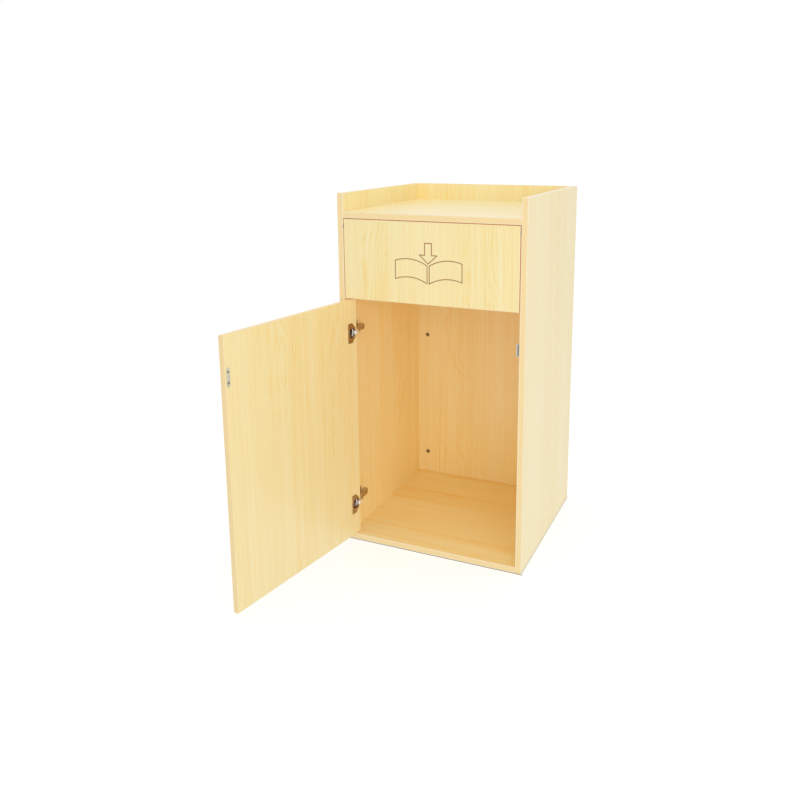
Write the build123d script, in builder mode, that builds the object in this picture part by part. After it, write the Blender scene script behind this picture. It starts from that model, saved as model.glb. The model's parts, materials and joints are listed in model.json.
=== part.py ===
"""Book drop box: a board cabinet with a tray top, a swinging drop flap and a hinged front door.

Millimetres, +Z up.  The origin is at the centre of the cabinet's footprint on the floor.
The front faces -Y and the door hangs on the left side panel.  The door is modelled closed
and then swung to its open angle, which is the rest pose.
"""
import os
from math import sqrt

from build123d import *

os.makedirs("parts", exist_ok=True)

# ---- driving dimensions -------------------------------------------------------------------
cabinet_width = 610.0
cabinet_depth = 584.0
cabinet_height = 1145.0
board = 19.0  # side, back, bottom and shelf boards
leaf_board = 16.0  # door and flap boards
band = 1.0  # edge band thickness
band_edge_round = 0.5
reveal = 3.0  # gap round the door and the flap
shelf_top = 1088.0
flap_height = 249.0

# ---- flap -----------------------------------------------------------------------------------
pivot_drop = 22.0  # flap pivot below the flap's top edge
pivot_pin_radius = 3.0
pivot_pin_in_flap = 25.0
pivot_pin_in_bush = 9.0
running_clearance = 0.06
bush_radius = 5.0
bush_flange_radius = 8.0
bush_flange = 1.2
bush_length = 11.0
stop_pin_radius = 4.0
stop_pin_reach = 14.0  # how far a stop pin stands out of the side panel
stop_pin_in_side = 10.0
stop_below_flap_top = 9.0
rest_clearance = 0.3  # between pieces of different bodies that meet at rest

# ---- engraved sign: an open book under an arrow ------------------------------------------------
groove_width = 3.0
groove_depth = 1.6
book_half_width = 108.0
book_spine_low = -60.0  # from the flap's centre
book_spine_high = -6.0
book_outer_low = -50.0
book_outer_high = 6.0
book_page_sag = 12.0
spine_gap = 3.5
arrow_top = 62.0
arrow_neck = 26.0
arrow_tip = 0.0
arrow_stem_half = 11.0
arrow_head_half = 28.0

# ---- door and its hinges -----------------------------------------------------------------------
open_angle = 98.7
hinge_axis_inset = 17.5  # hinge axis from the left panel's inner face
hinge_axis_depth = 6.5  # hinge axis behind the front plane
hinge_end_distance = 107.0  # hinge centre from the door's top and bottom
cup_from_edge = 25.0  # cup centre from the door's hinge edge
cup_bore_radius = 17.5
cup_bore_depth = 12.2
cup_radius = 17.3
cup_depth = 12.0
cup_wall = 0.9
flange_thickness = 1.2
flange_half_height = 32.0
flange_reach = 19.0  # flange edge past the cup centre, towards the middle of the door
flange_ear_width = 21.0
flange_hinge_reach = 17.0
flange_hinge_half = 15.0
cup_screw_offset = 9.5
cup_screw_half_spacing = 24.0
wood_screw_radius = 1.9
wood_screw_head_radius = 3.9
wood_screw_head = 1.4
wood_screw_length = 13.0
screw_hole_clearance = 0.1

link_axis_inset = 17.7
link_axis_depth = 29.4
link_path_from_wall = [(24.0, 27.6), (36.1, 19.0)]  # inset and depth, door open
link_path_from_cup = [(6.5, 9.7), (-3.7, 11.3)]  # right of and behind the open cup's centre
link_bends = [4.0, 4.0, 2.0]
link_thickness = 1.6
link_width = 12.0
link_eye_radius = 3.6
link_pin_radius = 1.5
link_cross_pin_radius = 1.4

arm_start = 25.5  # front end of the arm, behind the front plane
arm_end = 97.0
arm_width = 18.0
arm_height = 9.0
arm_wall = 1.6
arm_crank = 44.0  # depth at which the arm steps down to its plate
arm_front_inset = 13.2
plate_start = 42.0
plate_end = 104.0
plate_height = 7.0
plate_half_width = 7.0
plate_wing_half_height = 24.0
plate_wing_start = 58.0
plate_wing_end = 76.0
plate_wing_thickness = 2.4
plate_screw_half_spacing = 16.0
arm_screw_depths = (66.0, 88.0)
arm_screw_radius = 3.0
arm_screw_head = 2.2

# ---- magnetic catch ------------------------------------------------------------------------------
catch_height_on_box = 700.0
catch_half_height = 18.5
catch_reach = 15.0
catch_depth = 14.0
catch_ear_half_height = 27.0
catch_ear_thickness = 2.0
catch_wall = 1.8
pole_thickness = 1.5
pole_proud = 0.8
strike_width = 12.5
strike_half_height = 27.0
strike_thickness = 1.3
strike_from_free_edge = 12.0

# ---- cam fasteners and dowels ------------------------------------------------------------------------
cam_radius = 7.5
cam_length = 12.5
cam_inset = 38.0  # cam centre from the end of its board
bolt_bore_radius = 4.0
bolt_radius = 3.0
bolt_thread_radius = 2.4
bolt_thread_length = 11.0
bolt_head_radius = 3.5
bolt_head_length = 4.0
dowel_radius = 4.0
dowel_in_side = 11.0
dowel_in_board = 18.0
hole_clearance = 0.1
cam_end_distance = 100.0  # end cams of the back panel from its top and bottom
shelf_cam_end_distance = 60.0  # end cams of the shelf and the bottom from their front and back
dowel_from_cam = 32.0

# ---- places that follow ----------------------------------------------------------------------------------
left = -cabinet_width / 2
right = cabinet_width / 2
front = -cabinet_depth / 2
back = cabinet_depth / 2
inner_left = left + board
inner_right = right - board
inner_width = inner_right - inner_left
back_panel_front = back - board
shelf_bottom = shelf_top - board
flap_top = shelf_bottom - reveal
flap_bottom = flap_top - flap_height
door_top = flap_bottom - reveal
door_bottom = board + reveal
leaf_left = inner_left + reveal
leaf_right = inner_right - reveal
leaf_width = leaf_right - leaf_left
leaf_back = front + leaf_board
flap_middle = (flap_top + flap_bottom) / 2
pivot_height = flap_top - pivot_drop
pivot_depth = front + leaf_board / 2
hinge_x = inner_left + hinge_axis_inset
hinge_y = front + hinge_axis_depth
hinge_heights = {"lower": door_bottom + hinge_end_distance, "upper": door_top - hinge_end_distance}
cup_x = leaf_left + cup_from_edge
door_axis = Axis((hinge_x, hinge_y, 0), (0, 0, 1))
link_x = inner_left + link_axis_inset
link_y = front + link_axis_depth
back_middle = back - board / 2
shelf_middle = shelf_top - board / 2
bottom_middle = board / 2
strike_x = leaf_right - strike_from_free_edge
catch_front = leaf_back + strike_thickness + rest_clearance
stop_pin_height = flap_top - stop_below_flap_top
stop_pin_depth = leaf_back + rest_clearance + stop_pin_radius

back_cam_heights = [
    cam_end_distance,
    cabinet_height / 2,
    cabinet_height - cam_end_distance,
]
shelf_cam_places = [
    front + shelf_cam_end_distance,
    back_panel_front - shelf_cam_end_distance,
]
# Where bolts and dowels cross from a side panel into its neighbours, as (depth, height).
bolt_places = [(back_middle, z) for z in back_cam_heights]
bolt_places += [(y, z) for z in (shelf_middle, bottom_middle) for y in shelf_cam_places]
dowel_places = [(back_middle, z + dowel_from_cam) for z in back_cam_heights]
dowel_places += [
    (y + dowel_from_cam, z) for z in (shelf_middle, bottom_middle) for y in shelf_cam_places
]
side_signs = {"left": -1, "right": 1}


def save(shape, name):
    """Label a finished piece and write it to its own file."""
    shape.label = name
    export_step(shape, f"parts/{name}.step")


def block(x0, x1, y0, y1, z0, z1, mode=Mode.ADD):
    """A box between two corners, for use inside a part."""
    with BuildSketch(Plane.XY.offset(z0), mode=Mode.PRIVATE) as outline:
        with Locations(((x0 + x1) / 2, (y0 + y1) / 2)):
            Rectangle(x1 - x0, y1 - y0)
    extrude(outline.sketch, amount=z1 - z0, mode=mode)


def rod(start, direction, radius, length, mode=Mode.ADD):
    """A round bar from a start point along a direction, for use inside a part."""
    with BuildSketch(Plane(origin=start, z_dir=direction), mode=Mode.PRIVATE) as disc:
        Circle(radius)
    extrude(disc.sketch, amount=length, mode=mode)


# ---- side panels ---------------------------------------------------------------------------------------------
def side_panel(side):
    """One side panel with its fastener, pivot and stop pin holes."""
    sign = side_signs[side]
    inner_face = sign * (cabinet_width / 2 - board)
    outer_face = sign * cabinet_width / 2
    into_board = (sign, 0, 0)
    with BuildPart() as panel:
        block(min(inner_face, outer_face), max(inner_face, outer_face),
              front + band, back, 0, cabinet_height - band)
        for y, z in bolt_places:
            rod((inner_face, y, z), into_board, bolt_thread_radius + hole_clearance,
                bolt_thread_length + 1, Mode.SUBTRACT)
        for y, z in dowel_places:
            rod((inner_face, y, z), into_board, dowel_radius + hole_clearance,
                dowel_in_side + 1, Mode.SUBTRACT)
        rod((inner_face, pivot_depth, pivot_height), into_board, bush_radius,
            bush_length, Mode.SUBTRACT)
        rod((inner_face, stop_pin_depth, stop_pin_height), into_board,
            stop_pin_radius + hole_clearance, stop_pin_in_side + 1, Mode.SUBTRACT)
        if side == "left":
            for z in hinge_heights.values():
                for dz in (-plate_screw_half_spacing, plate_screw_half_spacing):
                    y = front + (plate_wing_start + plate_wing_end) / 2
                    rod((inner_face, y, z + dz), into_board,
                        wood_screw_radius + screw_hole_clearance, wood_screw_length, Mode.SUBTRACT)
        else:
            for dz in catch_screw_offsets:
                rod((inner_face, catch_front + catch_depth / 2, catch_height_on_box + dz), into_board,
                    wood_screw_radius + screw_hole_clearance, wood_screw_length, Mode.SUBTRACT)
    save(panel.part, f"{side}_side_panel")


def side_edge_bands(side):
    """The front and top edge bands of one side panel, mitred into each other as an L."""
    sign = side_signs[side]
    x0, x1 = sorted((sign * (cabinet_width / 2 - board), sign * cabinet_width / 2))
    with BuildPart() as bands:
        with BuildSketch(Plane.YZ.offset(x0)):
            with BuildLine():
                Polyline(
                    (front, 0), (front, cabinet_height), (back, cabinet_height),
                    (back, cabinet_height - band), (front + band, cabinet_height - band),
                    (front + band, 0), close=True,
                )
            make_face()
        extrude(amount=board)
        fillet(bands.edges().filter_by(Axis.Z).group_by(Axis.Y)[0], band_edge_round)
        fillet(bands.faces().sort_by(Axis.Z)[-1].edges().filter_by(Axis.Y), band_edge_round)
    save(bands.part, f"{side}_side_edge_bands")


catch_screw_offsets = (-(catch_half_height + catch_ear_half_height) / 2,
                       (catch_half_height + catch_ear_half_height) / 2)
for side_name in side_signs:
    side_panel(side_name)
    side_edge_bands(side_name)


# ---- boards between the sides ------------------------------------------------------------------------------------
def cam_bores(face_point, into_board, bolt_offset):
    """A cam bore, its bolt bore and nothing else, on each side of one board."""
    for sign in side_signs.values():
        x = sign * (cabinet_width / 2 - board - cam_inset)
        cam_start = (x, face_point[1], face_point[2])
        rod(cam_start, into_board, cam_radius + hole_clearance, cam_length + 0.5, Mode.SUBTRACT)
        end = sign * (cabinet_width / 2 - board)
        bolt_y = face_point[1] + into_board[1] * bolt_offset
        bolt_z = face_point[2] + into_board[2] * bolt_offset
        rod((end, bolt_y, bolt_z), (-sign, 0, 0), bolt_bore_radius, cam_inset, Mode.SUBTRACT)


def dowel_bores(y, z):
    """Dowel bores in both ends of one board."""
    for sign in side_signs.values():
        end = sign * (cabinet_width / 2 - board)
        rod((end, y, z), (-sign, 0, 0), dowel_radius + hole_clearance,
            dowel_in_board + 1, Mode.SUBTRACT)


with BuildPart() as back_panel:
    block(inner_left, inner_right, back_panel_front, back, 0, cabinet_height - band)
    for z in back_cam_heights:
        cam_bores((0, back_panel_front, z), (0, 1, 0), board / 2)
        dowel_bores(back_middle, z + dowel_from_cam)
save(back_panel.part, "back_panel")

with BuildPart() as back_panel_edge_band:
    block(inner_left, inner_right, back_panel_front, back, cabinet_height - band, cabinet_height)
    fillet(back_panel_edge_band.faces().sort_by(Axis.Z)[-1].edges().filter_by(Axis.X), band_edge_round)
save(back_panel_edge_band.part, "back_panel_edge_band")


def level_board(name, z0):
    """A level board between the sides, with cams let into its underside, and its front band."""
    with BuildPart() as panel:
        block(inner_left, inner_right, front + band, back_panel_front, z0, z0 + board)
        for y in shelf_cam_places:
            cam_bores((0, y, z0), (0, 0, 1), board / 2)
            dowel_bores(y + dowel_from_cam, z0 + board / 2)
    save(panel.part, name)
    with BuildPart() as front_band:
        block(inner_left, inner_right, front, front + band, z0, z0 + board)
        fillet(front_band.faces().sort_by(Axis.Y)[0].edges().filter_by(Axis.X), band_edge_round)
    save(front_band.part, f"{name}_edge_band")


level_board("bottom_panel", 0)
level_board("tray_shelf", shelf_bottom)


# ---- cam fasteners, bolts and dowels ---------------------------------------------------------------------------------
def cam(x, y, z, into_board, toward_side):
    """One cam: a drum with a driver cross in its face and a pocket that takes the bolt's head."""
    centre = Vector(x, y, z)
    inward = Vector(into_board)
    rod(centre, inward, cam_radius, cam_length)
    across = Vector(toward_side, 0, 0)
    along = inward.cross(across)
    bolt_centre = centre + inward * (board / 2)
    rod(bolt_centre, across, bolt_bore_radius, cam_radius + 1, Mode.SUBTRACT)
    rod(bolt_centre - across * bolt_head_length, across, bolt_bore_radius,
        bolt_head_length + 0.01, Mode.SUBTRACT)
    for slot_direction in (across, along):
        with BuildSketch(Plane(origin=centre, x_dir=slot_direction, z_dir=inward), mode=Mode.PRIVATE) as slot:
            Rectangle(cam_radius * 1.3, 1.6)
        extrude(slot.sketch, amount=1.8, mode=Mode.SUBTRACT)


def all_cam_places():
    """Centre of each cam's face, its direction into the board and the side it pulls to."""
    for sign in side_signs.values():
        x = sign * (cabinet_width / 2 - board - cam_inset)
        for z in back_cam_heights:
            yield x, back_panel_front, z, (0, 1, 0), sign
        for y in shelf_cam_places:
            yield x, y, shelf_bottom, (0, 0, 1), sign
            yield x, y, 0, (0, 0, 1), sign


with BuildPart() as cam_locks:
    for x, y, z, direction, sign in all_cam_places():
        with BuildPart(mode=Mode.PRIVATE) as one_cam:
            cam(x, y, z, direction, sign)
        add(one_cam.part)
save(cam_locks.part, "cam_locks")

with BuildPart() as cam_bolts:
    for sign in side_signs.values():
        end = sign * (cabinet_width / 2 - board)
        for y, z in bolt_places:
            rod((end, y, z), (sign, 0, 0), bolt_thread_radius, bolt_thread_length)
            rod((end, y, z), (-sign, 0, 0), bolt_radius, cam_inset)
            rod((end - sign * (cam_inset - 2), y, z), (-sign, 0, 0), bolt_head_radius, bolt_head_length)
save(cam_bolts.part, "cam_bolts")

with BuildPart() as dowels:
    for sign in side_signs.values():
        end = sign * (cabinet_width / 2 - board)
        for y, z in dowel_places:
            rod((end + sign * dowel_in_side, y, z), (-sign, 0, 0), dowel_radius,
                dowel_in_side + dowel_in_board)
save(dowels.part, "wooden_dowels")


# ---- flap ----------------------------------------------------------------------------------------------------------------
def leaf_with_bands(name, z0, z1):
    """Four edge bands round a leaf, as one ring."""
    with BuildPart() as bands:
        block(leaf_left, leaf_right, front, leaf_back, z0, z1)
        block(leaf_left + band, leaf_right - band, front, leaf_back, z0 + band, z1 - band, Mode.SUBTRACT)
        outer = bands.faces().sort_by(Axis.Y)[0].outer_wire().edges()
        outer += bands.faces().sort_by(Axis.Y)[-1].outer_wire().edges()
        fillet(outer, band_edge_round)
        if name == "flap":
            for sign in side_signs.values():
                edge = sign * leaf_width / 2
                rod((edge, pivot_depth, pivot_height), (-sign, 0, 0),
                    pivot_pin_radius + hole_clearance, band + 1, Mode.SUBTRACT)
    return bands.part


def page_outline(sign):
    """Outline of one page of the open book, seen from the front."""
    with BuildLine() as outline:
        inner_low = (sign * spine_gap, book_spine_low)
        inner_high = (sign * spine_gap, book_spine_high)
        outer_low = (sign * book_half_width, book_outer_low)
        outer_high = (sign * book_half_width, book_outer_high)
        Line(inner_low, inner_high)
        SagittaArc(inner_high, outer_high, sign * book_page_sag)
        Line(outer_high, outer_low)
        SagittaArc(outer_low, inner_low, -sign * book_page_sag)
    return outline.edges()


with BuildPart() as flap_panel:
    block(leaf_left + band, leaf_right - band, front, leaf_back, flap_bottom + band, flap_top - band)
    front_plane = Plane(origin=(0, front, flap_middle), x_dir=(1, 0, 0), z_dir=(0, -1, 0))
    with BuildSketch(front_plane):
        for sign in side_signs.values():
            trace(page_outline(sign), line_width=groove_width)
        with BuildLine() as arrow:
            Polyline(
                (-arrow_stem_half, arrow_top), (arrow_stem_half, arrow_top),
                (arrow_stem_half, arrow_neck), (arrow_head_half, arrow_neck),
                (0, arrow_tip), (-arrow_head_half, arrow_neck),
                (-arrow_stem_half, arrow_neck), close=True,
            )
        trace(arrow.edges(), line_width=groove_width)
    extrude(amount=-groove_depth, mode=Mode.SUBTRACT)
    for sign in side_signs.values():
        rod((sign * leaf_width / 2, pivot_depth, pivot_height), (-sign, 0, 0),
            pivot_pin_radius + hole_clearance, pivot_pin_in_flap + 1, Mode.SUBTRACT)
save(flap_panel.part, "flap_panel")
save(leaf_with_bands("flap", flap_bottom, flap_top), "flap_edge_bands")

with BuildPart() as flap_pivot_pins:
    for sign in side_signs.values():
        start = sign * (leaf_width / 2 - pivot_pin_in_flap)
        rod((start, pivot_depth, pivot_height), (sign, 0, 0), pivot_pin_radius,
            pivot_pin_in_flap + reveal + pivot_pin_in_bush)
save(flap_pivot_pins.part, "flap_pivot_pins")

with BuildPart() as flap_pivot_bushes:
    for sign in side_signs.values():
        face = sign * (cabinet_width / 2 - board)
        rod((face, pivot_depth, pivot_height), (sign, 0, 0), bush_radius, bush_length)
        rod((face, pivot_depth, pivot_height), (-sign, 0, 0), bush_flange_radius, bush_flange)
        rod((face - sign * bush_flange, pivot_depth, pivot_height), (sign, 0, 0),
            pivot_pin_radius + running_clearance, bush_length + bush_flange - 1, Mode.SUBTRACT)
save(flap_pivot_bushes.part, "flap_pivot_bushes")

with BuildPart() as flap_stop_pins:
    for sign in side_signs.values():
        face = sign * (cabinet_width / 2 - board)
        rod((face + sign * stop_pin_in_side, stop_pin_depth, stop_pin_height), (-sign, 0, 0),
            stop_pin_radius, stop_pin_in_side + stop_pin_reach)
save(flap_stop_pins.part, "flap_stop_pins")


# ---- door ---------------------------------------------------------------------------------------------------------------
def opened(shape):
    """Swing a piece of the closed door to the open rest angle."""
    return shape.rotate(door_axis, -open_angle)


strike_screw_offsets = (-strike_half_height * 0.55, strike_half_height * 0.55)

with BuildPart() as door_panel:
    block(leaf_left + band, leaf_right - band, front, leaf_back, door_bottom + band, door_top - band)
    for z in hinge_heights.values():
        rod((cup_x, leaf_back, z), (0, -1, 0), cup_bore_radius, cup_bore_depth, Mode.SUBTRACT)
        for dz in (-cup_screw_half_spacing, cup_screw_half_spacing):
            rod((cup_x + cup_screw_offset, leaf_back, z + dz), (0, -1, 0),
                wood_screw_radius + screw_hole_clearance, wood_screw_length, Mode.SUBTRACT)
    for dz in strike_screw_offsets:
        rod((strike_x, leaf_back, catch_height_on_box + dz), (0, -1, 0),
            wood_screw_radius + screw_hole_clearance, wood_screw_length, Mode.SUBTRACT)
save(opened(door_panel.part), "door_panel")
save(opened(leaf_with_bands("door", door_bottom, door_top)), "door_edge_bands")


def hinge_cup(z):
    """A pressed cup with its bow-tie flange."""
    plane = Plane(origin=(cup_x, leaf_back, z), x_dir=(1, 0, 0), z_dir=(0, 1, 0))
    with BuildPart() as cup:
        with BuildSketch(plane):
            with BuildLine():
                ear = flange_reach - flange_ear_width
                Polyline(
                    (flange_reach, -flange_half_height), (flange_reach, flange_half_height),
                    (ear, flange_half_height), (-flange_hinge_reach, flange_hinge_half),
                    (-flange_hinge_reach, -flange_hinge_half), (ear, -flange_half_height), close=True,
                )
            make_face()
        extrude(amount=flange_thickness)
        fillet(cup.edges().filter_by(Axis.Y), 3)
        rod((cup_x, leaf_back, z), (0, -1, 0), cup_radius, cup_depth)
        rod((cup_x, leaf_back + flange_thickness, z), (0, -1, 0), cup_radius - cup_wall,
            cup_depth + flange_thickness - cup_wall, Mode.SUBTRACT)
        for dz in (-cup_screw_half_spacing, cup_screw_half_spacing):
            rod((cup_x + cup_screw_offset, leaf_back + flange_thickness, z + dz), (0, -1, 0),
                wood_screw_radius + screw_hole_clearance, flange_thickness, Mode.SUBTRACT)
    return cup.part


def wood_screw(head_seat, into_board):
    """A pan head wood screw with a driver cross, seated at a point."""
    inward = Vector(into_board)
    seat = Vector(head_seat)
    rod(seat, inward, wood_screw_radius, wood_screw_length - 1)
    rod(seat, inward * -1, wood_screw_head_radius, wood_screw_head)
    for x_dir in (Vector(0, 0, 1), inward.cross(Vector(0, 0, 1))):
        head_top = seat - inward * wood_screw_head
        with BuildSketch(Plane(origin=head_top, x_dir=x_dir, z_dir=inward), mode=Mode.PRIVATE) as slot:
            Rectangle(wood_screw_head_radius * 1.2, 1.0)
        extrude(slot.sketch, amount=0.8, mode=Mode.SUBTRACT)


for place, z in hinge_heights.items():
    save(opened(hinge_cup(z)), f"{place}_hinge_cup")

with BuildPart() as hinge_cup_screws:
    for z in hinge_heights.values():
        for dz in (-cup_screw_half_spacing, cup_screw_half_spacing):
            with BuildPart(mode=Mode.PRIVATE) as one_screw:
                wood_screw((cup_x + cup_screw_offset, leaf_back + flange_thickness, z + dz), (0, -1, 0))
            add(one_screw.part)
save(opened(hinge_cup_screws.part), "hinge_cup_screws")

with BuildPart() as strike_plate:
    strike_plane = Plane(origin=(strike_x, leaf_back, catch_height_on_box), x_dir=(0, 0, 1), z_dir=(0, 1, 0))
    with BuildSketch(strike_plane):
        RectangleRounded(2 * strike_half_height, strike_width, strike_width / 2 - 0.5)
    extrude(amount=strike_thickness)
    for dz in strike_screw_offsets:
        rod((strike_x, leaf_back + strike_thickness, catch_height_on_box + dz), (0, -1, 0),
            wood_screw_head_radius + hole_clearance, strike_thickness, Mode.SUBTRACT)
save(opened(strike_plate.part), "strike_plate")

with BuildPart() as strike_plate_screws:
    for dz in strike_screw_offsets:
        with BuildPart(mode=Mode.PRIVATE) as one_screw:
            wood_screw((strike_x, leaf_back, catch_height_on_box + dz), (0, -1, 0))
        add(one_screw.part)
save(opened(strike_plate_screws.part), "strike_plate_screws")


# ---- hinge links, arms and plates -------------------------------------------------------------------------------------------
def from_hinge_axis(x, y, angle):
    """The point that (x, y) turns to about the door's axis."""
    return Vector(hinge_x, hinge_y, 0) + Vector(x - hinge_x, y - hinge_y, 0).rotate(Axis.Z, angle)


def cross_pin_reach(end_x, end_y):
    """Half the length of a link's cross pin, which ends just inside the round wall of its cup."""
    offset = from_hinge_axis(end_x, end_y, open_angle).X - cup_x
    return sqrt((cup_radius - cup_wall) ** 2 - (abs(offset) + link_cross_pin_radius) ** 2) - rest_clearance


def hinge_link(z):
    """The goose-neck link that reaches round the open door's edge into the cup, and its cross pin."""
    points = [(link_x, link_y)]
    points += [(inner_left + inset, front + depth) for inset, depth in link_path_from_wall]
    cup_centre = from_hinge_axis(cup_x, leaf_back, -open_angle)
    points += [(cup_centre.X + right_by, cup_centre.Y + behind_by) for right_by, behind_by in link_path_from_cup]
    bottom = z - link_width / 2
    with BuildPart() as link:
        with BuildSketch(Plane.XY.offset(bottom)):
            with BuildLine():
                FilletPolyline(*points, radius=link_bends)
            trace(line_width=link_thickness)
            with Locations((link_x, link_y)):
                Circle(link_eye_radius)
            with Locations((link_x, link_y)):
                Circle(link_pin_radius + running_clearance, mode=Mode.SUBTRACT)
        extrude(amount=link_width)
        end_x, end_y = points[-1]
        reach = cross_pin_reach(end_x, end_y)
        rod((end_x, end_y, z - reach), (0, 0, 1), link_cross_pin_radius, 2 * reach)
    return link.part


def hinge_arm(z):
    """The cranked channel arm, open towards the side panel, with cheeks that hold the link's pin."""
    arm_top = inner_left + plate_height + arm_wall + arm_height - arm_wall
    with BuildPart() as arm:
        block(inner_left + plate_height, arm_top, front + arm_crank, front + arm_end,
              z - arm_width / 2, z + arm_width / 2)
        block(inner_left + arm_front_inset, link_x + link_eye_radius + 1.2,
              front + arm_start, front + arm_crank + 6, z - arm_width / 2, z + arm_width / 2)
        block(inner_left + arm_front_inset, link_x + link_eye_radius + 1.2,
              front + arm_start - 1, link_y + link_eye_radius + 1.5,
              z - link_width / 2 - 0.4, z + link_width / 2 + 0.4, Mode.SUBTRACT)
        rod((link_x, link_y, z - arm_width / 2), (0, 0, 1), link_pin_radius + hole_clearance,
            arm_width, Mode.SUBTRACT)
        for depth in arm_screw_depths:
            rod((arm_top, front + depth, z), (-1, 0, 0), arm_screw_radius + hole_clearance,
                arm_height, Mode.SUBTRACT)
    return arm.part


def hinge_plate(z):
    """The mounting plate: a raised bar under the arm and a wing with two screw holes."""
    wing_top = inner_left + plate_wing_thickness
    with BuildPart() as plate:
        block(inner_left, inner_left + plate_height, front + plate_start, front + plate_end,
              z - plate_half_width, z + plate_half_width)
        block(inner_left, wing_top, front + plate_wing_start, front + plate_wing_end,
              z - plate_wing_half_height, z + plate_wing_half_height)
        wing_middle = front + (plate_wing_start + plate_wing_end) / 2
        for dz in (-plate_screw_half_spacing, plate_screw_half_spacing):
            rod((wing_top, wing_middle, z + dz), (-1, 0, 0),
                wood_screw_radius + screw_hole_clearance, plate_wing_thickness, Mode.SUBTRACT)
        for depth in arm_screw_depths:
            rod((inner_left + plate_height, front + depth, z), (-1, 0, 0),
                arm_screw_radius - 1 + hole_clearance, plate_height - 1, Mode.SUBTRACT)
    return plate.part


for place, z in hinge_heights.items():
    save(hinge_link(z), f"{place}_hinge_link")
    save(hinge_arm(z), f"{place}_hinge_arm")
    save(hinge_plate(z), f"{place}_hinge_plate")

with BuildPart() as hinge_arm_pins:
    for z in hinge_heights.values():
        rod((link_x, link_y, z - arm_width / 2), (0, 0, 1), link_pin_radius, arm_width)
save(hinge_arm_pins.part, "hinge_arm_pins")

with BuildPart() as hinge_arm_screws:
    for z in hinge_heights.values():
        for depth in arm_screw_depths:
            top = inner_left + plate_height + arm_height
            seat = Vector(top, front + depth, z)
            rod(seat, (-1, 0, 0), arm_screw_radius - 1, arm_height + plate_height - 3)
            rod(seat, (-1, 0, 0), arm_screw_radius, arm_screw_head)
            with BuildSketch(Plane(origin=seat, x_dir=(0, 0, 1), z_dir=(-1, 0, 0)), mode=Mode.PRIVATE) as slot:
                Rectangle(arm_screw_radius * 1.5, 1.0)
            extrude(slot.sketch, amount=1.0, mode=Mode.SUBTRACT)
save(hinge_arm_screws.part, "hinge_arm_screws")

with BuildPart() as hinge_plate_screws:
    for z in hinge_heights.values():
        for dz in (-plate_screw_half_spacing, plate_screw_half_spacing):
            y = front + (plate_wing_start + plate_wing_end) / 2
            with BuildPart(mode=Mode.PRIVATE) as one_screw:
                wood_screw((inner_left + plate_wing_thickness, y, z + dz), (-1, 0, 0))
            add(one_screw.part)
save(hinge_plate_screws.part, "hinge_plate_screws")

# ---- magnetic catch ----------------------------------------------------------------------------------------------------------
catch_back = catch_front + catch_depth
catch_low = catch_height_on_box - catch_half_height
catch_high = catch_height_on_box + catch_half_height
magnet_x0 = inner_right - catch_reach + catch_wall
magnet_x1 = inner_right - catch_wall
magnet_inner_x0 = magnet_x0 + pole_thickness
magnet_inner_x1 = magnet_x1 - pole_thickness

with BuildPart() as catch_housing:
    block(inner_right - catch_reach, inner_right, catch_front + pole_proud, catch_back, catch_low, catch_high)
    block(inner_right - catch_ear_thickness, inner_right, catch_front + pole_proud, catch_back,
          catch_height_on_box - catch_ear_half_height, catch_height_on_box + catch_ear_half_height)
    block(magnet_x0, magnet_x1, catch_front, catch_back - catch_wall,
          catch_low + catch_wall, catch_high - catch_wall, Mode.SUBTRACT)
    for dz in catch_screw_offsets:
        rod((inner_right - catch_ear_thickness, catch_front + catch_depth / 2, catch_height_on_box + dz),
            (1, 0, 0), wood_screw_radius + screw_hole_clearance, catch_ear_thickness, Mode.SUBTRACT)
save(catch_housing.part, "catch_housing")

with BuildPart() as catch_pole_plates:
    for x0 in (magnet_x0, magnet_inner_x1):
        block(x0, x0 + pole_thickness, catch_front, catch_back - catch_wall,
              catch_low + catch_wall, catch_high - catch_wall)
save(catch_pole_plates.part, "catch_pole_plates")

with BuildPart() as catch_magnet:
    block(magnet_inner_x0, magnet_inner_x1, catch_front + pole_proud, catch_back - catch_wall,
          catch_low + catch_wall, catch_high - catch_wall)
save(catch_magnet.part, "catch_magnet")

with BuildPart() as catch_screws:
    for dz in catch_screw_offsets:
        with BuildPart(mode=Mode.PRIVATE) as one_screw:
            wood_screw((inner_right - catch_ear_thickness, catch_front + catch_depth / 2,
                        catch_height_on_box + dz), (1, 0, 0))
        add(one_screw.part)
save(catch_screws.part, "catch_screws")
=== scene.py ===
"""Looks for the book drop box: maple laminate, edge bands, plated fittings, light and camera."""

import json
import math

import bpy
from mathutils import Matrix, Vector


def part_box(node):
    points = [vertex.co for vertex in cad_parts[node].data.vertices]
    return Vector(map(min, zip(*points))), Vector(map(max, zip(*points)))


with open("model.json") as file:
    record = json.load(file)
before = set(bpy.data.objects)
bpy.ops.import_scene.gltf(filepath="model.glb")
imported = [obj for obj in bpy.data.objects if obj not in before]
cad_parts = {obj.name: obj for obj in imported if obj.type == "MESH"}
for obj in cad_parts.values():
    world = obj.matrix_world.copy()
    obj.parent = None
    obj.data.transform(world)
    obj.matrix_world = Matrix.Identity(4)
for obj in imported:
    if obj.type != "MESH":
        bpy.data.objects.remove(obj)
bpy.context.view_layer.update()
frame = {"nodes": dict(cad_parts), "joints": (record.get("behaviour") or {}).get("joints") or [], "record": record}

MM = 0.001
X, Y, Z = 0, 1, 2
joints = {joint["name"]: joint for joint in frame["joints"]}
open_angle = joints["door_swing"]["range_deg"][1]
hinge_axis = tuple(joints["door_swing"]["pos_m"])


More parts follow.
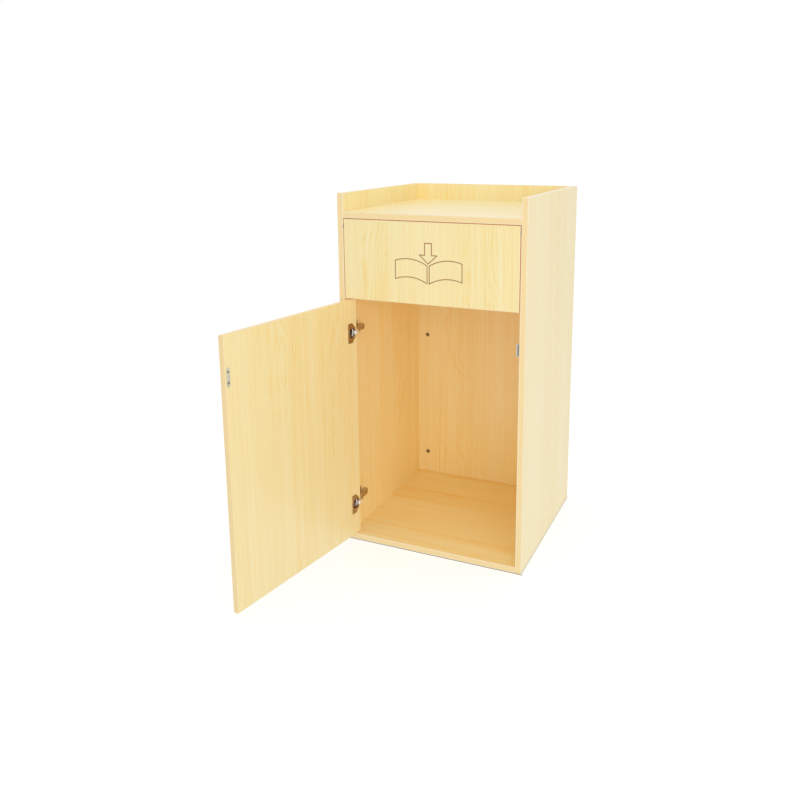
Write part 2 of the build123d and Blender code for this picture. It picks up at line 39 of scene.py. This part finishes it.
# ---- shader maths ----------------------------------------------------------------------------
class Value:
    """One socket of a node tree. Arithmetic on it adds Math nodes."""

    def __init__(self, tree, socket):
        self.tree = tree
        self.socket = socket

    def __add__(self, other):
        return self.tree.math("ADD", self, other)

    def __radd__(self, other):
        return self.tree.math("ADD", other, self)

    def __sub__(self, other):
        return self.tree.math("SUBTRACT", self, other)

    def __rsub__(self, other):
        return self.tree.math("SUBTRACT", other, self)

    def __mul__(self, other):
        return self.tree.math("MULTIPLY", self, other)

    def __rmul__(self, other):
        return self.tree.math("MULTIPLY", other, self)

    def __truediv__(self, other):
        return self.tree.math("DIVIDE", self, other)

    def __pow__(self, other):
        return self.tree.math("POWER", self, other)

    def __gt__(self, other):
        return self.tree.math("GREATER_THAN", self, other)

    def __lt__(self, other):
        return self.tree.math("LESS_THAN", self, other)

    def __abs__(self):
        return self.tree.math("ABSOLUTE", self)

    def clamp(self):
        """The value held between 0 and 1."""
        return self.tree.math("ADD", self, 0.0, clamp=True)


# sockets that share a name, by their place in the node's lists
MIX_FACTOR, MIX_FIRST, MIX_SECOND, MIX_RESULT = 0, 6, 7, 2
SHADER_FACTOR, SHADER_FIRST, SHADER_SECOND = 0, 1, 2


class Tree:
    """The nodes of a material or a world, all added by one method."""

    def __init__(self, owner):
        owner.use_nodes = True
        owner.node_tree.nodes.clear()
        self.owner = owner
        self.nodes = owner.node_tree.nodes
        self.links = owner.node_tree.links

    def node(self, kind, settings=None, values=None, output=0):
        """Add a node: its settings are set first, then its sockets' values or links.

        Returns the output asked for, or a list of them all if output is None.
        """
        made = self.nodes.new(kind)
        for name, setting in (settings or {}).items():
            if name == "stops":
                self.set_stops(made.color_ramp, setting)
            else:
                setattr(made, name, setting)
        for name, value in (values or {}).items():
            socket = made.inputs[name]
            if isinstance(value, Value):
                self.links.new(value.socket, socket)
            elif socket.type == "RGBA":
                socket.default_value = (*value, 1)
            else:
                socket.default_value = value
        if output is None:
            return [Value(self, socket) for socket in made.outputs]
        return Value(self, made.outputs[output])

    @staticmethod
    def set_stops(ramp, stops):
        """Give a colour ramp its stops, each a position and a colour."""
        while len(ramp.elements) < len(stops):
            ramp.elements.new(0.5)
        for element, (position, colour) in zip(ramp.elements, stops):
            element.position = position
            element.color = (*colour, 1)

    def math(self, operation, *values, clamp=False):
        settings = {"operation": operation, "use_clamp": clamp}
        return self.node("ShaderNodeMath", settings, dict(enumerate(values)))

    def mix(self, factor, first, second):
        """Blend two colours."""
        values = {MIX_FACTOR: factor, MIX_FIRST: first, MIX_SECOND: second}
        return self.node("ShaderNodeMix", {"data_type": "RGBA"}, values, output=MIX_RESULT)

    def vector(self, x, y, z):
        return self.node("ShaderNodeCombineXYZ", None, {X: x, Y: y, Z: z})

    def split(self, vector):
        """The three parts of a vector."""
        return self.node("ShaderNodeSeparateXYZ", None, {0: vector}, output=None)

    def place(self):
        """Position on the piece as built, in metres."""
        return self.node("ShaderNodeTexCoord", output="Object")

    def noise(self, place, per_metre=1.0, detail=2.0, roughness=0.5):
        """Soft noise from 0 to 1."""
        values = {"Vector": place, "Scale": per_metre, "Detail": detail, "Roughness": roughness}
        return self.node("ShaderNodeTexNoise", {"noise_dimensions": "3D"}, values)

    def grain(self, across, along, seed, layer):
        """One layer of noise, stretched along the grain."""
        waves_across, waves_along, seed_step, detail, roughness = layer
        place = self.vector(across * waves_across, along * waves_along, seed + seed_step)
        return self.noise(place, 1.0, detail, roughness)

    def bump(self, height, strength, distance):
        values = {"Height": height, "Strength": strength, "Distance": distance}
        return self.node("ShaderNodeBump", None, values)

    def surface(self, values):
        """Close a material's tree with a Principled BSDF and return the material."""
        shader = self.node("ShaderNodeBsdfPrincipled", None, values)
        self.node("ShaderNodeOutputMaterial", None, {"Surface": shader}, output=None)
        return self.owner


def new_material(name):
    """The empty tree of a new material."""
    return Tree(bpy.data.materials.new(name))


def place_in_panel(tree, turn=0.0):
    """The three parts of the place on a panel; the open door's is turned back to closed."""
    place = tree.place()
    if turn:
        values = {"Vector": place, "Center": hinge_axis, "Angle": math.radians(turn)}
        place = tree.node("ShaderNodeVectorRotate", {"rotation_type": "Z_AXIS"}, values)
    return tree.split(place)


def beyond(place, axis, low, high):
    """How far a place lies outside two corners along one axis, below zero between them."""
    middle, half = (low[axis] + high[axis]) / 2, (high[axis] - low[axis]) / 2
    return abs(place[axis] - middle) - half


# ---- maple laminate --------------------------------------------------------------------------
pale_maple = (0.995, 0.872, 0.500)
warm_maple = (0.987, 0.812, 0.392)
dark_maple = (0.960, 0.700, 0.235)
maple_stops = [(0.0, pale_maple), (0.45, warm_maple), (1.0, dark_maple)]
plain_shade = 0.34
# the tray shelf's tone is painted paler than the other panels: painted light standing in for the brighter light on
# the tray
tray_painted_light_tone = 0.08
wander = 14 * MM
fleck_level, fleck_contrast = 0.62, 3.0
laminate_roughness = 0.34
streak_gloss, fibre_gloss = 0.12, 0.06
laminate_bump = 0.16
laminate_relief = 0.2 * MM
fibre_share = 0.6
hard_coat = {"Specular IOR Level": 0.6, "Coat Weight": 0.3, "Coat Roughness": 0.15}

# grain layers: waves per metre across and along the grain, seed step, detail and roughness
drift_layer = (3.0, 1.4, 0.0, 2.0, 0.5)
broad_layer = (22.0, 0.5, 3.1, 2.0, 0.55)
stripe_layer = (105.0, 1.1, 5.7, 2.0, 0.6)
streak_layer = (300.0, 4.0, 7.9, 2.0, 0.6)
fibre_layer = (1100.0, 12.0, 9.3, 3.0, 0.6)
fleck_layer = (1300.0, 45.0, 2.2, 1.0, 0.5)
swell_layer = (10.0, 1.6, 0.0, 1.0, 0.4)
ripple_layer = (60.0, 9.0, 1.9, 1.0, 0.5)
patch_layer = (5.0, 1.6, 4.4, 1.0, 0.5)
growth_seed_step = 6.5

# how much each layer darkens the laminate
broad_strength = 0.8
stripe_strength = 0.9
streak_strength = 1.05
fibre_strength = 0.55
fleck_strength = 0.40
growth_strength = 0.40

# growth lines: how many rings the swell climbs, how far they waver and how thin they are
fine_rings = 24.0
wide_rings = 12.0
ring_waver = 4.0
ring_sharpness = 3.0
patch_level, patch_contrast = 0.36, 6.0
figure_fullness = 1.5

# the flap's cut sign: its core shows between two depths and clear of the panel's edges
routed_core = (0.330, 0.170, 0.065)
routed_core_pale = (0.594, 0.306, 0.117)
mottle_per_metre = 600.0
groove_top = 0.35 * MM
groove_bottom = 2.2 * MM
groove_margin = 4 * MM


def growth_lines(tree, across, along, seed, figure, rings):
    """Growth lines that close into long eyes and arches, only near the figure's centres."""
    ripple = tree.grain(across, along, seed, ripple_layer)
    swell = tree.grain(across, along, seed, swell_layer)
    patch = tree.grain(across, along, seed, patch_layer)
    turns = 2 * math.pi * rings * swell + ring_waver * ripple
    lines = tree.math("SINE", turns) * 0.5 + 0.5
    shown = sum((1 - abs(across - centre) / half_width).clamp() for centre, half_width in figure)
    near = (shown.clamp() * figure_fullness).clamp()
    return lines ** ring_sharpness * near * ((patch - patch_level) * patch_contrast).clamp()


def maple(name, across_axis, along_axis, seed, figure, turn=0.0, groove=None,
          rings=fine_rings, cloudy=1.0, shade=plain_shade):
    """Pale maple laminate, its grain along one axis.

    The figure lists the centre and the half width, in metres, of each row of arches.
    """
    tree = new_material(name)
    place = place_in_panel(tree, turn)
    across, along = place[across_axis], place[along_axis]
    drift = tree.grain(across, along, seed, drift_layer)
    across = across + (drift - 0.5) * wander
    broad = tree.grain(across, along, seed, broad_layer)
    stripe = tree.grain(across, along, seed, stripe_layer)
    streak = tree.grain(across, along, seed, streak_layer)
    fibre = tree.grain(across, along, seed, fibre_layer)
    fleck = tree.grain(across, along, seed, fleck_layer)
    growth = growth_lines(tree, across, along, seed + growth_seed_step, figure, rings)
    # the shade argument shifts the whole tone along the ramp; the tray shelf's paler shade is painted light
    tone = ((broad - 0.5) * (broad_strength * cloudy)
            + (stripe - 0.5) * stripe_strength
            + (streak - 0.5) * streak_strength
            + (fibre - 0.5) * fibre_strength
            + growth * growth_strength
            + ((fleck - fleck_level) * fleck_contrast).clamp() * fleck_strength
            + shade)
    colour = tree.node("ShaderNodeValToRGB", {"stops": maple_stops}, {"Fac": tone.clamp()})
    if groove:
        colour = groove(tree, place, colour)
    height = fibre * fibre_share + streak * (1 - fibre_share)
    return tree.surface({
        "Base Color": colour,
        "Roughness": laminate_roughness + (streak - 0.5) * streak_gloss + (fibre - 0.5) * fibre_gloss,
        "Normal": tree.bump(height, laminate_bump, laminate_relief),
        **hard_coat,
    })


def routed_groove(tree, place, colour):
    """Brown core showing wherever the flap's sign is cut below its face."""
    low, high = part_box("flap_panel")
    cut = (place[Y] > low.y + groove_top) * (place[Y] < low.y + groove_bottom)
    inside_x = beyond(place, X, low, high) < -groove_margin
    inside_z = beyond(place, Z, low, high) < -groove_margin
    mottle = tree.noise(tree.vector(*place), mottle_per_metre)
    core = tree.mix(mottle, routed_core, routed_core_pale)
    return tree.mix(cut * inside_x * inside_z, colour, core)


# ---- edge bands ------------------------------------------------------------------------------
band_pale = (0.985, 0.770, 0.400)
band_warm = (0.970, 0.712, 0.325)
# painted highlight: this pale colour is laid along each band's arrises in place of the light its rounded edges
# catch
band_painted_highlight = (0.975, 0.905, 0.700)
painted_highlight_width = 4 * MM
painted_highlight_evenness = 0.6
band_roughness = 0.36
band_gloss = 0.08
band_bump = 0.10
streak_share = 0.7
band_streaks = (260.0, 2.5)  # waves per metre across and along the band
band_fibres = (900.0, 12.0)


def band_grain(tree, place, along_axis, layer, shift=0.0):
    """Noise drawn out along a band."""
    waves_across, waves_along = layer
    waves = [waves_along if axis == along_axis else waves_across for axis in (X, Y, Z)]
    stretched = tree.vector(*[part * wave + shift for part, wave in zip(place, waves)])
    return tree.noise(stretched, roughness=0.6)


def edge_band(name, node, along_axis, across_axis, seed, turn=0.0):
    """A thin plastic band printed to match the maple.

    It is warm in the middle, with a highlight painted pale along its arrises. The turned door's box is the open
    door's, which doesn't give the closed band's middle, so its bands stay even, without the painted highlight.
    """
    tree = new_material(name)
    place = place_in_panel(tree, turn)
    streak = band_grain(tree, place, along_axis, band_streaks)
    fibre = band_grain(tree, place, along_axis, band_fibres, seed)
    warmth = (streak * streak_share + fibre * (1 - streak_share)).clamp()
    colour = tree.mix(warmth, band_pale, band_warm)
    # painted highlight: the band pales within a few millimetres of its arrises, broken up by the fibre noise
    if not turn:
        painted_highlight_mask = (beyond(place, across_axis, *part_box(node)) / painted_highlight_width + 1).clamp()
        painted_highlight_mix = painted_highlight_mask * (painted_highlight_evenness + fibre * (1 - painted_highlight_evenness))
        colour = tree.mix(painted_highlight_mix, colour, band_painted_highlight)
    return tree.surface({
        "Base Color": colour,
        "Roughness": band_roughness + (fibre - 0.5) * band_gloss,
        "Normal": tree.bump(fibre, band_bump, laminate_relief),
        **hard_coat,
    })


# ---- fittings --------------------------------------------------------------------------------
fine_relief = 0.1 * MM
smears_per_metre = 90.0
brush_stretch = 0.2
tarnish_contrast, tarnish_level = 1.6, 0.35
smear_gloss, brushed_gloss = 0.16, 0.10
metal_bump = 0.12
clouds_per_metre = 60.0
sparks_per_metre = 2600.0
cloud_gloss = 0.1
plastic_bump = 0.2
beech_waves_across, beech_waves_along = 500.0, 20.0
beech_roughness, beech_gloss = 0.6, 0.1
beech_bump = 0.3


def metal(name, bright, dull, roughness, brushed_per_metre, wear=0.5, metallic=1.0):
    """Plated or cast metal with faint smears, brushing and tarnish."""
    tree = new_material(name)
    place = tree.place()
    x, y, z = tree.split(place)
    smear = tree.noise(place, smears_per_metre, detail=4.0, roughness=0.6)
    stretched = tree.vector(x, y * brush_stretch, z)
    brushed = tree.noise(stretched, brushed_per_metre, detail=3.0, roughness=0.65)
    tarnish = ((smear - 0.5) * (tarnish_contrast * wear) + tarnish_level).clamp()
    gloss = roughness + (smear - 0.5) * smear_gloss + (brushed - 0.5) * brushed_gloss
    return tree.surface({
        "Base Color": tree.mix(tarnish, bright, dull),
        "Metallic": metallic,
        "Roughness": gloss.clamp(),
        "Normal": tree.bump(brushed, metal_bump, fine_relief),
    })


def plastic(name, pale, deep, roughness=0.45):
    """Moulded plastic with a fine spark texture."""
    tree = new_material(name)
    place = tree.place()
    cloud = tree.noise(place, clouds_per_metre, detail=3.0)
    spark = tree.noise(place, sparks_per_metre)
    return tree.surface({
        "Base Color": tree.mix(cloud, pale, deep),
        "Roughness": roughness + (cloud - 0.5) * cloud_gloss,
        "Normal": tree.bump(spark, plastic_bump, fine_relief),
    })


def raw_beech(name, pale, deep):
    """Bare dowel wood, its grain along X as the dowels run."""
    tree = new_material(name)
    x, y, z = place_in_panel(tree)
    across_y, across_z = y * beech_waves_across, z * beech_waves_across
    ring = tree.noise(tree.vector(x * beech_waves_along, across_y, across_z), detail=3.0)
    return tree.surface({
        "Base Color": tree.mix(ring, pale, deep),
        "Roughness": beech_roughness + ring * beech_gloss,
        "Normal": tree.bump(ring, beech_bump, laminate_relief),
    })


# ---- each piece's finish ---------------------------------------------------------------------
finishes = {
    "left_side_panel": maple("maple_left_side", Y, Z, 1.7, [(0.12, 0.10), (-0.16, 0.08)]),
    "right_side_panel": maple("maple_right_side", Y, Z, 8.3, [(0.02, 0.12), (0.22, 0.07)]),
    "back_panel": maple("maple_back", X, Z, 14.9, [(-0.15, 0.09), (0.19, 0.10)]),
    "bottom_panel": maple("maple_bottom", Y, X, 21.4, [(-0.14, 0.20), (0.16, 0.18)],
                          rings=wide_rings, cloudy=2.6),
    # tray shelf: its paler tone is painted light
    "tray_shelf": maple("maple_tray", Y, X, 27.8, [(0.06, 0.16)],
                        rings=wide_rings, cloudy=1.4, shade=tray_painted_light_tone),
    "door_panel": maple("maple_door", X, Z, 33.1, [(-0.19, 0.08), (0.05, 0.09)], open_angle),
    "flap_panel": maple("maple_flap", X, Z, 40.6, [(-0.19, 0.07), (0.10, 0.06), (0.22, 0.06)],
                        groove=routed_groove),
}
for side in ("left", "right"):
    node = side + "_side_edge_bands"
    finishes[node] = edge_band("band_" + side, node, Z, X, 3.3)
for piece, across_axis in (("back_panel", Y), ("bottom_panel", Z), ("tray_shelf", Z)):
    node = piece + "_edge_band"
    finishes[node] = edge_band(node, node, X, across_axis, 6.1)
finishes["door_edge_bands"] = edge_band("band_door", "door_edge_bands", Z, X, 4.7, open_angle)
finishes["flap_edge_bands"] = edge_band("band_flap", "flap_edge_bands", X, Y, 5.2)

link_nickel = metal("bright_nickel", (0.96, 0.97, 0.95), (0.86, 0.87, 0.84),
                    roughness=0.42, brushed_per_metre=900.0, metallic=0.7)
finishes["upper_hinge_link"] = link_nickel
finishes["lower_hinge_link"] = link_nickel
finishes["strike_plate"] = metal("strike_steel", (0.74, 0.75, 0.64), (0.46, 0.47, 0.38),
                                 roughness=0.36, brushed_per_metre=700.0, wear=1.2, metallic=0.8)
finishes["strike_plate_screws"] = metal("dark_screw_steel", (0.36, 0.36, 0.30), (0.22, 0.22, 0.18),
                                        roughness=0.4, brushed_per_metre=700.0)

# the finish of every other piece, by the material slot that the record gives it
slot_finishes = {
    # the nickel's brown colours are a painted warm cast standing in for the orange light on the hinges in the
    # cavity; the smeared tarnish between them is wear
    "nickel": metal("nickel_with_painted_warm_cast", (0.60, 0.48, 0.36), (0.34, 0.25, 0.17),
                    roughness=0.24, brushed_per_metre=900.0, wear=0.9),
    "plated_steel": metal("zinc_plated_steel", (0.74, 0.75, 0.74), (0.60, 0.61, 0.60),
                          roughness=0.32, brushed_per_metre=1200.0),
    "dark_zinc": metal("bronzed_zinc", (0.30, 0.24, 0.17), (0.19, 0.14, 0.09),
                       roughness=0.42, brushed_per_metre=500.0),
    "nylon": plastic("brown_nylon", (0.42, 0.27, 0.15), (0.36, 0.22, 0.12)),
    "catch_plastic": plastic("catch_grey", (0.70, 0.70, 0.66), (0.62, 0.62, 0.58)),
    "magnet": plastic("ferrite", (0.40, 0.41, 0.37), (0.32, 0.33, 0.30)),
    "beech": raw_beech("raw_beech", (0.72, 0.48, 0.26), (0.55, 0.33, 0.16)),
}
for subpart in frame["record"]["subparts"]:
    node = subpart["node"]
    finish = finishes[node] if node in finishes else slot_finishes[subpart["material_slot"]]
    for material_slot in frame["nodes"][node].material_slots:
        material_slot.material = finish


# ---- floor -----------------------------------------------------------------------------------
floor_half = 30.0
floor_drop = 0.2 * MM
floor_paint = (0.5, 0.5, 0.5)
floor_glow = (0.62, 0.62, 0.62)
floor_roughness = 0.9
# painted contact shadow: its paint and glow where the cabinet meets the floor, where it starts, how far it fades,
# and how much lighter it is beside and behind the cabinet
contact_shadow_paint = (0.07, 0.05, 0.03)
contact_shadow_glow = (0.03, 0.022, 0.012)
painted_shadow_start = 1.5 * MM
painted_shadow_fade = 6 * MM
painted_shadow_side_lift = 0.6
painted_shadow_front_margin = 1 * MM


def studio_floor():
    """A plain pale floor, with a painted shadow only in the thin line where the cabinet meets it."""
    mesh = bpy.data.meshes.new("studio_floor")
    corners = [(-1, -1), (1, -1), (1, 1), (-1, 1)]
    points = [(x * floor_half, y * floor_half, -floor_drop) for x, y in corners]
    mesh.from_pydata(points, [], [(0, 1, 2, 3)])
    floor = bpy.data.objects.new("studio_floor", mesh)
    bpy.context.scene.collection.objects.link(floor)
    floor.visible_diffuse = False
    tree = new_material("studio_floor_paint")
    place = place_in_panel(tree)
    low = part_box("left_side_panel")[0]
    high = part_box("right_side_panel")[1]
    # painted shadow mask: dark at the cabinet's footprint, fading out over a few millimetres, lifted beside and
    # behind it
    outside = tree.math("MAXIMUM", beyond(place, X, low, high), beyond(place, Y, low, high))
    painted_shadow_lift_beside = (place[Y] > low.y - painted_shadow_front_margin) * painted_shadow_side_lift
    clear = (((outside - painted_shadow_start) / painted_shadow_fade).clamp() + painted_shadow_lift_beside).clamp()
    mesh.materials.append(tree.surface({
        "Base Color": tree.mix(clear, contact_shadow_paint, floor_paint),
        "Roughness": floor_roughness,
        "Emission Color": tree.mix(clear, contact_shadow_glow, floor_glow),
        "Emission Strength": 1.0,
    }))


# ---- light -----------------------------------------------------------------------------------
white = (1.0, 1.0, 1.0)
room_seen = 1.0
room_cast = 0.685
soft_boxes = [  # name, place, aim, width and height, watts
    ("front_softbox", (1.8, -3.9, 1.5), (0, 0, 0.4), (2.6, 2.0), 24.0),
    ("top_softbox", (0, -0.6, 4.2), (0, -0.1, 0.5), (2.5, 2.5), 23.0),
    ("right_softbox", (3.4, -2.8, 1.2), (-0.2, 0, 0.5), (2.5, 2.2), 26.0),
]
bounces = 24
diffuse_bounces = 20


def soft_light(name, location, target, size, power):
    """A large area light aimed at a point, not seen itself."""
    lamp = bpy.data.lights.new(name, "AREA")
    lamp.shape = "RECTANGLE"
    lamp.size, lamp.size_y = size
    lamp.energy = power
    holder = bpy.data.objects.new(name, lamp)
    holder.location = location
    holder.rotation_euler = (Vector(target) - Vector(location)).to_track_quat("-Z", "Y").to_euler()
    holder.visible_camera = False
    bpy.context.scene.collection.objects.link(holder)


def studio_world():
    """An even white room: one brightness behind the object, another for the light it casts."""
    tree = Tree(bpy.data.worlds.new("white_studio"))
    seen = tree.node("ShaderNodeBackground", None, {"Color": white, "Strength": room_seen})
    cast = tree.node("ShaderNodeBackground", None, {"Color": white, "Strength": room_cast})
    casting = tree.node("ShaderNodeLightPath", output="Is Diffuse Ray")
    values = {SHADER_FACTOR: casting, SHADER_FIRST: seen, SHADER_SECOND: cast}
    room = tree.node("ShaderNodeMixShader", None, values)
    tree.node("ShaderNodeOutputWorld", None, {"Surface": room}, output=None)
    bpy.context.scene.world = tree.owner


# ---- camera ----------------------------------------------------------------------------------
camera_place = (0.9340, -2.4461, 1.3120)
camera_azimuth, camera_elevation, camera_roll = (math.radians(v) for v in (23.826, 11.532, -0.304))
camera_lens = 35.95
camera_shift = (-0.0287, -0.125)


def camera():
    """A camera a little above the tray, to the right of the front, looking slightly down."""
    lens = bpy.data.cameras.new("camera")
    lens.lens = camera_lens
    lens.shift_x, lens.shift_y = camera_shift
    holder = bpy.data.objects.new("camera", lens)
    ahead = Vector((-math.sin(camera_azimuth) * math.cos(camera_elevation),
                    math.cos(camera_azimuth) * math.cos(camera_elevation),
                    -math.sin(camera_elevation)))
    aim = ahead.to_track_quat("-Z", "Y").to_matrix().to_4x4()
    holder.matrix_world = Matrix.Translation(camera_place) @ aim @ Matrix.Rotation(camera_roll, 4, "Z")
    bpy.context.scene.collection.objects.link(holder)
    bpy.context.scene.camera = holder


studio_floor()
studio_world()
for soft_box in soft_boxes:
    soft_light(*soft_box)
camera()
bpy.context.scene.cycles.max_bounces = bounces
bpy.context.scene.cycles.diffuse_bounces = diffuse_bounces
bpy.context.scene.view_settings.view_transform = "Standard"
